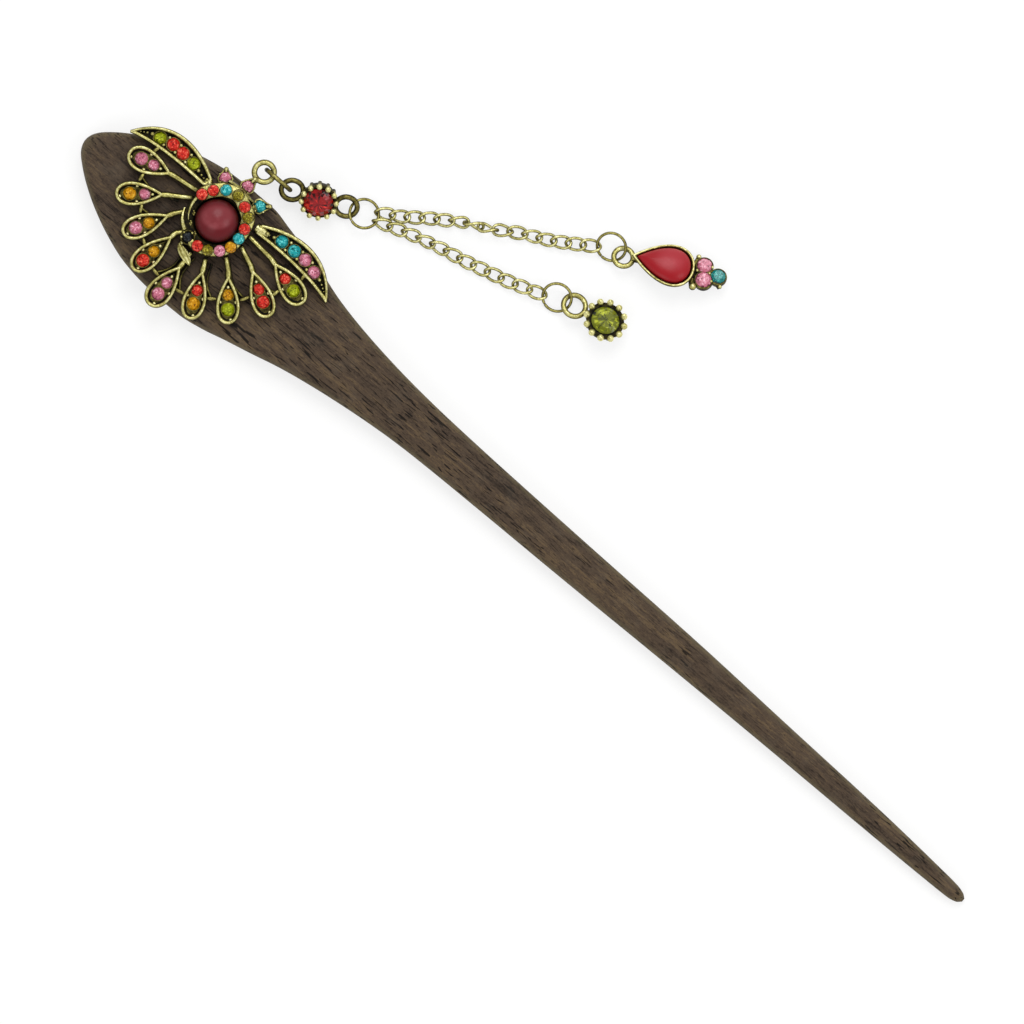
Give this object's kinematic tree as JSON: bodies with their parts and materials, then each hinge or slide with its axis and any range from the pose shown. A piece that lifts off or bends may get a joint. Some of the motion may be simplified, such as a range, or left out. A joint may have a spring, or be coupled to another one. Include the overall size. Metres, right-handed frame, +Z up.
{
  "type": "hair stick",
  "caption": "Flat tapering wooden hair stick with a gem-set cast peacock fan near its wide end and a forked chain that carries a drop pendant and a round pendant.",
  "frame": {"origin": "on the flat underside of the stick, on its middle line, 25 mm from the blunt end", "axes": "+X along the stick from the blunt end to the tip, +Y across it towards the side where the chain lies, +Z up out of the flat underside"},
  "size_m": [0.18, 0.0625, 0.0085],
  "materials": {
    "wood": "satin, dark brown with grey streaks and short dark pores along the grain",
    "antique_brass": "antique, bright on the rims and nearly black in the recesses",
    "burgundy_cabochon": "polished opaque dome",
    "crimson_cabochon": "polished opaque dome",
    "jet_stone": "faceted, near black",
    "red_stone": "faceted, foil backed",
    "pink_stone": "faceted, foil backed",
    "amber_stone": "faceted, foil backed",
    "lime_stone": "faceted, foil backed",
    "aqua_stone": "faceted, foil backed",
    "ruby_stone": "faceted, foil backed",
    "olive_stone": "faceted, foil backed"
  },
  "bodies": {
    "root": {"stick": "wood", "peacock_setting": "antique_brass", "cabochon": "burgundy_cabochon", "eye_stone": "jet_stone", "body_stones": "red_stone", "feather_stone_1": "pink_stone", "feather_stone_2": "pink_stone", "feather_stone_3": "pink_stone", "feather_stone_4": "amber_stone", "feather_stone_5": "amber_stone", "feather_stone_6": "pink_stone", "feather_stone_7": "amber_stone", "feather_stone_8": "red_stone", "feather_stone_9": "pink_stone", "feather_stone_10": "pink_stone", "feather_stone_11": "red_stone", "feather_stone_12": "amber_stone", "feather_stone_13": "amber_stone", "feather_stone_14": "lime_stone", "feather_stone_15": "red_stone", "feather_stone_16": "red_stone", "feather_stone_17": "red_stone", "feather_stone_18": "lime_stone", "wing_stone_1": "lime_stone", "wing_stone_2": "red_stone", "wing_stone_3": "red_stone", "wing_stone_4": "lime_stone", "wing_stone_5": "aqua_stone", "wing_stone_6": "aqua_stone", "wing_stone_7": "pink_stone", "wing_stone_8": "pink_stone", "crown_stone_1": "pink_stone", "crown_stone_2": "pink_stone", "crown_stone_3": "aqua_stone", "crown_ring": "antique_brass", "connector_setting": "antique_brass", "connector_stone": "ruby_stone", "fork_ring": "antique_brass", "long_chain": "antique_brass", "short_chain": "antique_brass", "drop_ring": "antique_brass", "drop_setting": "antique_brass", "drop_cabochon": "crimson_cabochon", "drop_stones": "pink_stone", "round_ring": "antique_brass", "round_setting": "antique_brass", "round_stone": "olive_stone"}
  },
  "joints": []
}
